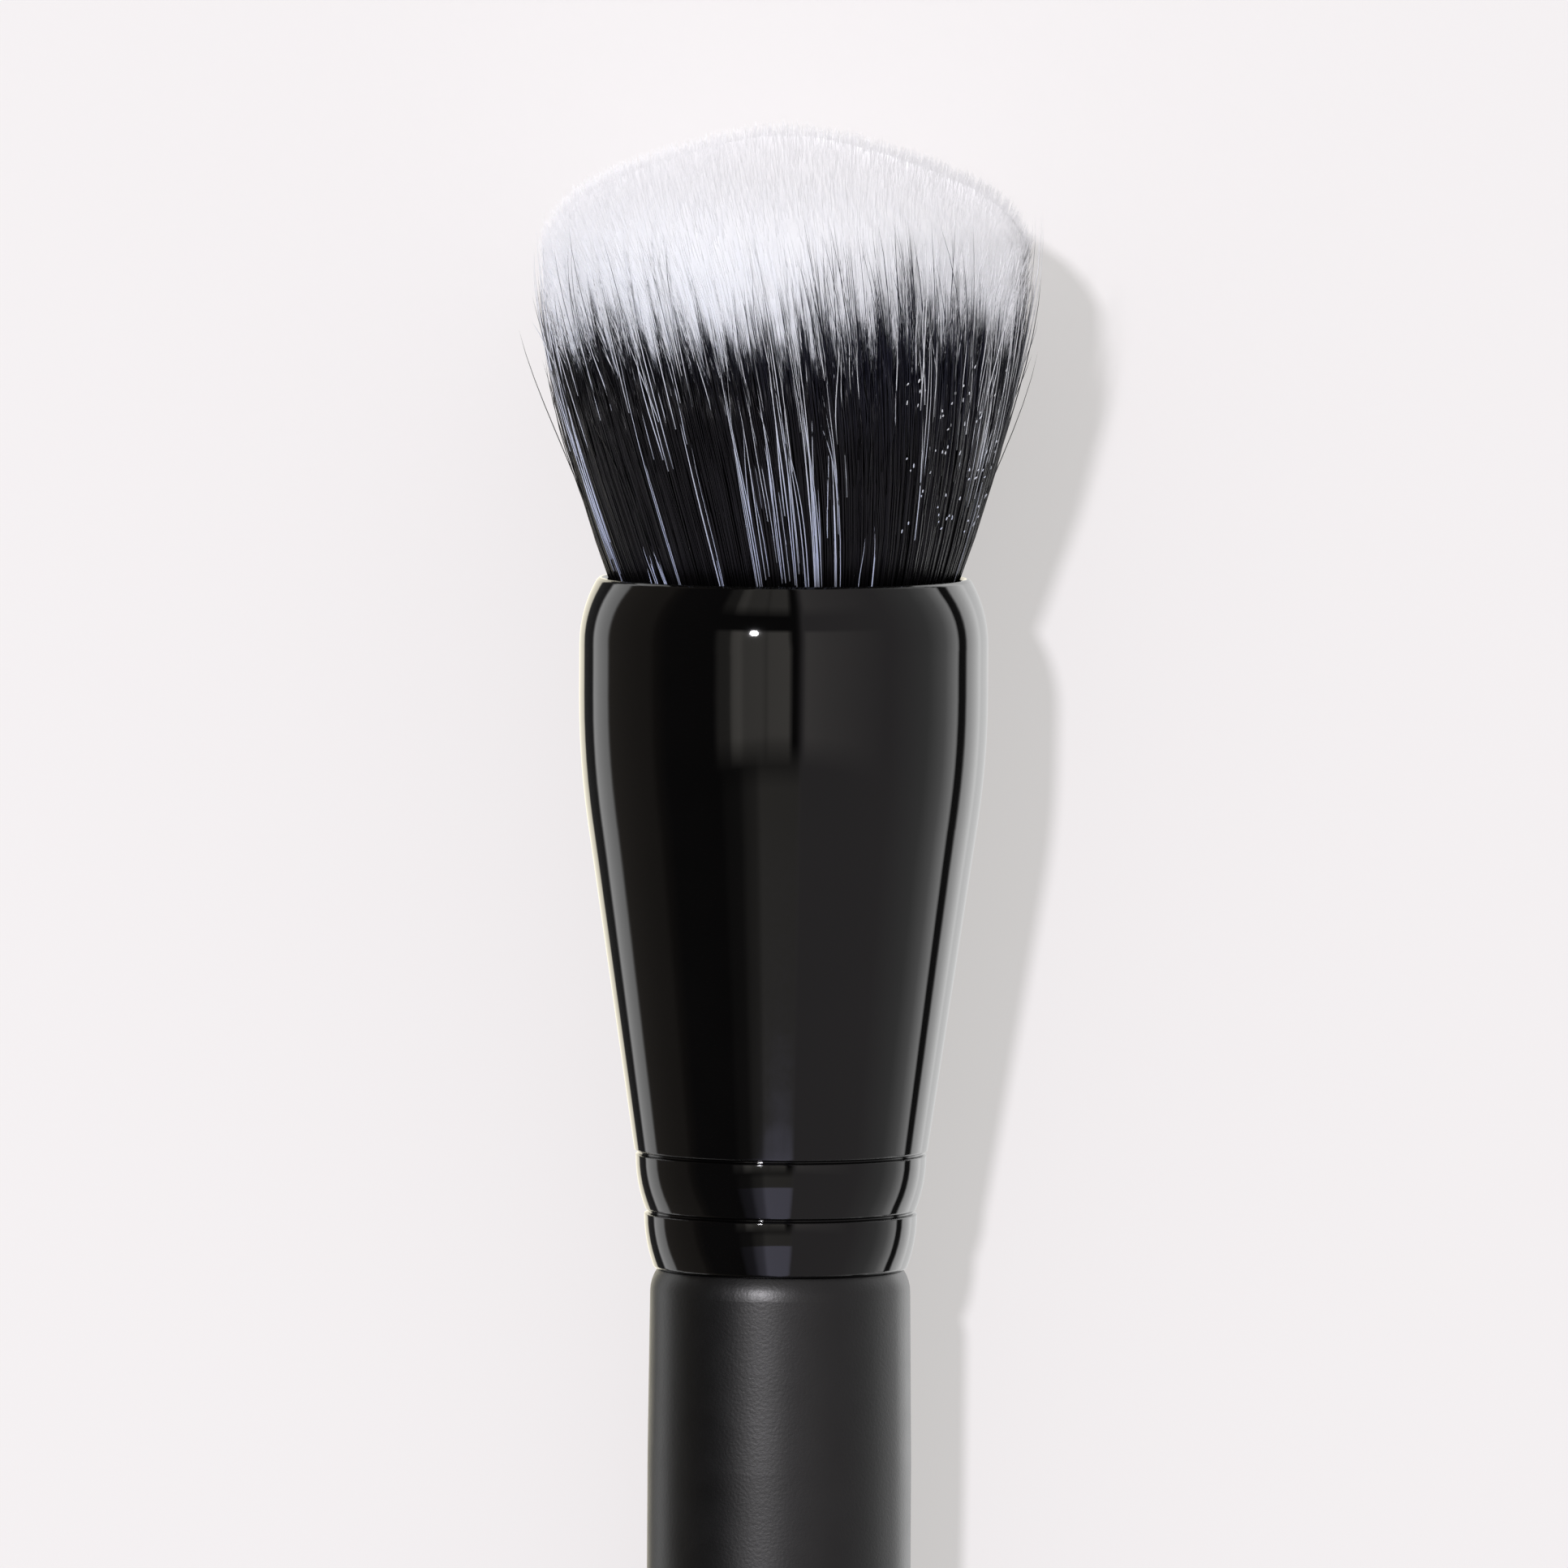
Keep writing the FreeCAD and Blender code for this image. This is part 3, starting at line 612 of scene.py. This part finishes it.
def ferrule_material():
    nodes = Nodes(bpy.data.materials.new("gloss_black_lacquer"))
    cloud = nodes.noise(scale=160, detail=2.0)
    dust = nodes.noise(scale=2600, detail=5.0, roughness=0.7)
    colours = [(0.3, (0.0008, 0.0007, 0.0007)), (0.7, (0.0014, 0.0012, 0.0012))]
    nodes.shade("Base Color", nodes.ramp(cloud, colours))
    nodes.shade("Roughness", nodes.remap(dust, new=(0.02, 0.06)))
    nodes.bump(cloud, strength=0.05, distance=0.0001, rounding=0.00015)
    return nodes.owner


# Painted shade and light on the fibres: their colours run from darker and bluer at the
# ferrule's mouth to paler at the top of the dome, between these places on Y in metres, standing
# in for the shade low in the tuft. They are further on towards +X, by so much a metre, so the
# side towards -X is painted darker, and on strands of a high tone.
SHADE_FADE_REACH = (0.060, 0.088)
SHADE_FADE_ASIDE = 8.0
FADE_TONE = 0.14
# painted shade: the low stops are darker and bluer, as the tuft's shade near the mouth
WHITE_STOPS = (
    (0.0, (0.45, 0.52, 0.79)),
    (0.3, (0.67, 0.725, 0.875)),
    (0.5, (0.80, 0.825, 0.875)),
    (0.75, (0.85, 0.86, 0.88)),
    (1.0, (0.96, 0.96, 0.955)),
)
PACKED_SHADE = 0.96  # painted shade: the under layer's colours are a little darker, as shade deep among the tips
# painted light: the black grows lighter and bluer towards the dome and towards +X
BLACK_STOPS = (
    (0.0, (0.004, 0.0035, 0.004)),
    (0.4, (0.007, 0.0065, 0.008)),
    (0.65, (0.012, 0.013, 0.026)),
)


def fibre_material(name, stops, roughness, bump, gloss, sheen):
    """Fibres with painted shade: darker low on the tuft and towards -X, paler towards the dome
    and +X, and a little different from strand to strand.
    """
    nodes = Nodes(bpy.data.materials.new(name))
    tone = nodes.add("ShaderNodeAttribute", attribute_name="tone").outputs["Fac"]
    where = nodes.split(nodes.coordinates("Object"))
    # painted shade and light: the place on the colour ramp rises up the tuft and towards +X
    place = nodes.remap(where["Y"], old=SHADE_FADE_REACH)
    place = nodes.calculate("MULTIPLY_ADD", where["X"], SHADE_FADE_ASIDE, place)
    place = nodes.calculate("MULTIPLY_ADD", tone, FADE_TONE, place)
    nodes.shade("Base Color", nodes.ramp(place, stops))
    nodes.shade("Roughness", nodes.remap(tone, new=roughness))
    nodes.shade("Specular IOR Level", gloss)
    nodes.shade("Sheen Weight", sheen)
    streaks = nodes.noise(scale=3000, stretch=(1, 0.1, 1))
    nodes.bump(streaks, strength=bump, distance=0.00003)
    return nodes.owner


def inner_material(name, colour, roughness, scale, stretch=(1, 1, 1)):
    """For the pieces that the ferrule hides."""
    nodes = Nodes(bpy.data.materials.new(name))
    cloud = nodes.noise(scale, stretch=stretch)
    dark = tuple(0.8 * value for value in colour)
    nodes.shade("Base Color", nodes.ramp(cloud, [(0.3, dark), (0.7, colour)]))
    nodes.shade("Roughness", nodes.remap(cloud, new=(roughness - 0.1, roughness)))
    nodes.bump(cloud, strength=0.3, distance=0.0001)
    return nodes.owner


def dress_solids(frame):
    """Better materials for the solids whose shape is right."""
    glue = inner_material("hard_adhesive", (0.72, 0.62, 0.4), roughness=0.35, scale=300)
    thread = inner_material(
        "wound_thread", (0.85, 0.83, 0.78), roughness=0.85, scale=1500, stretch=(1, 6, 6)
    )
    finishes = {
        "handle": handle_material(),
        "ferrule": ferrule_material(),
        "tenon_glue": glue,
        "root_glue": glue,
        "binding_thread": thread,
    }
    for name, material in finishes.items():
        mesh = frame["nodes"][name].data
        for place in range(len(mesh.materials)):
            mesh.materials[place] = material


def build_tuft(brush):
    """Black collar and white core, in place of the two solids of fibres."""
    # painted shade: the under layer takes the white colours made a little darker
    shaded = [
        (place, tuple(PACKED_SHADE * part for part in colour)) for place, colour in WHITE_STOPS
    ]
    white = fibre_material(
        "white_fibre", WHITE_STOPS, roughness=(0.5, 0.65), bump=0.1, gloss=0.2, sheen=0.9
    )
    packed = fibre_material(
        "packed_white_tips", shaded, roughness=(0.6, 0.7), bump=0.9, gloss=0.1, sheen=0.9
    )
    black = fibre_material(
        "black_fibre", BLACK_STOPS, roughness=(0.3, 0.5), bump=0.2, gloss=0.3, sheen=0.0
    )
    build_black(brush, black)
    build_white(brush, white, packed)
    build_streaks(brush, white)
    build_strays(brush, black, white)


FLOOR_REACH = 2500.0  # mm from the middle to each side
FLOOR_COLOURS = ((0.4, (0.889, 0.864, 0.872)), (0.6, (0.896, 0.871, 0.879)))
FLOOR_GLOW = 0.55  # how much of the floor's brightness the camera sees as its own
FLOOR_GLOW_COLOUR = (0.912, 0.888, 0.872)


def build_stage():
    """A wide pale floor.

    The camera sees part of its brightness as a backdrop's own and the rest as lit by the lamps,
    so the shadow stays. Reflections see the studio below the horizon instead of the floor.
    """
    corners = [(-1, -1, 0), (1, -1, 0), (1, 1, 0), (-1, 1, 0)]
    points = np.array(corners) * FLOOR_REACH
    floor = new_mesh("floor", points, np.array([[0, 1, 2], [0, 2, 3]]), smooth=False)
    nodes = Nodes(bpy.data.materials.new("pale_floor"))
    nodes.shade("Base Color", nodes.ramp(nodes.noise(scale=9.0, detail=2.0), FLOOR_COLOURS))
    nodes.shade("Roughness", 0.9)
    nodes.shade("Specular IOR Level", 0.0)
    glow = nodes.feed_all(nodes.add("ShaderNodeEmission"), (*FLOOR_GLOW_COLOUR, 1.0))
    path = nodes.add("ShaderNodeLightPath")
    share = nodes.calculate("MULTIPLY", path.outputs["Is Camera Ray"], FLOOR_GLOW)
    mixed = nodes.add("ShaderNodeMixShader")
    nodes.feed_all(mixed, share, nodes.shader.outputs["BSDF"], glow.outputs["Emission"])
    output = nodes.tree.nodes["Material Output"]
    nodes.feed(output.inputs["Surface"], mixed.outputs["Shader"])
    floor.data.materials.append(nodes.owner)
    floor.visible_glossy = False


# The studio around the brush. The first number is an angle across the brush in degrees, from
# straight up and to the left below zero; the others are brightness and, where it isn't neutral,
# a tint. The left wall is dark and the right one brighter, and under the horizon a pale sweep
# has a dark seam on each side.
CREAM, BROWN, PLUM = (1.0, 0.94, 0.78), (1.0, 0.9, 0.8), (1.0, 0.94, 0.97)
WALLS = (
    (-180, 1.5, CREAM), (-155, 1.7, CREAM), (-153, 0.08), (-138, 0.06), (-135, 1.6),
    (-128, 1.45), (-119.5, 1.35), (-116.5, 0.17, BROWN), (-82, 0.15, BROWN), (-78, 0.08, BROWN),
    (-70, 0.04), (8, 0.03), (11, 0.42, PLUM), (64, 0.43, PLUM), (90, 0.55), (104, 0.95),
    (116, 2.0), (118, 0.05), (125, 0.05), (128, 1.9), (146, 2.4), (150, 1.8), (160, 1.3),
    (180, 0.7),
)  # fmt: skip
# What a window over the brush adds, from straight above it towards the tuft.
HIGH_WINDOW = (
    (-40, 0.0), (-37, 0.2), (-31, 0.22), (-29, 0.75), (-25, 0.9), (-22, 0.62), (-12, 0.66),
    (-10, 0.5), (-8, 0.7), (3, 0.75), (5, 0.0), (11, 0.0), (13, 0.35), (24, 0.24), (60, 0.0),
)  # fmt: skip
# What it adds towards the butt.
LOW_WINDOW = (
    (-38, 0.0), (-34, 0.08), (-26, 0.12), (-22, 0.4), (-16, 0.55), (-13, 1.0), (8, 0.95),
    (10, 0.4), (11, 0.0),
)  # fmt: skip
# How much of each shows at a place along the brush, as the sine of the angle from straight up,
# below zero towards the butt.
OLIVE, BLUE = (1.0, 0.95, 0.88), (0.87, 0.85, 1.1)
HIGH_REACH = (
    (-0.25, 0.0), (-0.18, 1.08, OLIVE), (0.22, 1.08, OLIVE), (0.27, 0.0), (0.45, 0.0),
    (0.6, 0.7, OLIVE),
)  # fmt: skip
LOW_REACH = (
    (-0.55, 1.3, BLUE), (-0.4168, 1.3, BLUE), (-0.4135, 0.42, OLIVE), (-0.3, 0.42, OLIVE),
    (-0.2, 0.0),
)  # fmt: skip
BRIGHTEST = 3.0  # the world's strength, since a ramp's colours end at 1
BACKDROP = (0.896, 0.871, 0.879)
SOFT_LIGHT = (0.38, 0.38, 0.385)


def world_ramp(nodes, value, ends, stops, full=1.0):
    """Colours over a value that runs between two ends.

    A stop is a place, a brightness, of which a full one gives 1, and maybe a tint.
    """
    low, high = ends
    colours = []
    for place, bright, *tint in stops:
        tint = tint[0] if tint else (1.0, 1.0, 1.0)
        colour = tuple(bright / full * part for part in tint)
        colours.append(((place - low) / (high - low), colour))
    return nodes.ramp(nodes.remap(value, old=ends), colours)


def studio_world():
    world = bpy.data.worlds.new("studio")
    bpy.context.scene.world = world
    nodes = Nodes(world)
    direction = nodes.split(nodes.coordinates("Generated"))
    turn = nodes.calculate("ARCTAN2", direction["X"], direction["Z"])
    across = nodes.calculate("DEGREES", turn)
    circle = (-180, 180)
    total = world_ramp(nodes, across, circle, WALLS, BRIGHTEST)
    for window, reach in ((HIGH_WINDOW, HIGH_REACH), (LOW_WINDOW, LOW_REACH)):
        light = world_ramp(nodes, across, circle, window, BRIGHTEST)
        shown = world_ramp(nodes, direction["Y"], (reach[0][0], reach[-1][0]), reach)
        added = nodes.add("ShaderNodeVectorMath", operation="MULTIPLY_ADD")
        total = nodes.feed_all(added, light, shown, total).outputs["Vector"]
    path = nodes.add("ShaderNodeLightPath").outputs
    # what isn't a reflection sees the same studio as one even soft light
    soft_light, backdrop = (
        (*(part / BRIGHTEST for part in colour), 1.0) for colour in (SOFT_LIGHT, BACKDROP)
    )
    seen = nodes.mix(path["Is Glossy Ray"], soft_light, total)
    # past the floor's edge the camera sees a backdrop as pale as the floor
    background = nodes.tree.nodes["Background"]
    nodes.feed_all(background, nodes.mix(path["Is Camera Ray"], seen, backdrop), BRIGHTEST)


# The key lamp, a small disk high on the left: its direction and distance from the frame's
# origin, its width and the point that it faces, in metres; a radiance of 1 looks white.
KEY_DIRECTION = (-0.3, 0.25, 1.0)
KEY_DISTANCE = 2.5
KEY_WIDTH = 0.167
KEY_TARGET = (0.0, 0.05, 0.01)
KEY_RADIANCE = 620.0
KEY_COLOUR = (1.0, 0.975, 1.03)


def add_key_lamp():
    lamp = bpy.data.lights.new("key_lamp", "AREA")
    lamp.shape = "DISK"
    lamp.size = KEY_WIDTH
    surface = math.pi / 4 * KEY_WIDTH**2
    lamp.energy = KEY_RADIANCE * surface * math.pi
    lamp.color = KEY_COLOUR
    thing = bpy.data.objects.new("key_lamp", lamp)
    thing.location = Vector(KEY_DIRECTION).normalized() * KEY_DISTANCE
    towards = Vector(KEY_TARGET) - thing.location
    thing.rotation_euler = towards.to_track_quat("-Z", "Y").to_euler()
    bpy.context.scene.collection.objects.link(thing)


def add_camera():
    camera = bpy.data.cameras.new("camera")
    width = IMAGE_SIZE / PIXELS_PER_MM
    camera.sensor_fit = "HORIZONTAL"
    camera.sensor_width = SENSOR_WIDTH
    camera.lens = SENSOR_WIDTH * CAMERA_DISTANCE / width
    camera.clip_end = VIEW_REACH
    thing = bpy.data.objects.new("camera", camera)
    x, y, z = VIEW_CENTRE
    thing.location = Vector((x, y, z + CAMERA_DISTANCE)) * MM
    thing.rotation_euler = Euler((0.0, 0.0, CAMERA_ROLL))
    bpy.context.scene.collection.objects.link(thing)
    bpy.context.scene.camera = thing


def main():
    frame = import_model()
    add_camera()
    dress_solids(frame)
    build_tuft(Brush(frame["record"]))
    build_stage()
    studio_world()
    add_key_lamp()
    bpy.context.scene.view_settings.view_transform = "Standard"


main()
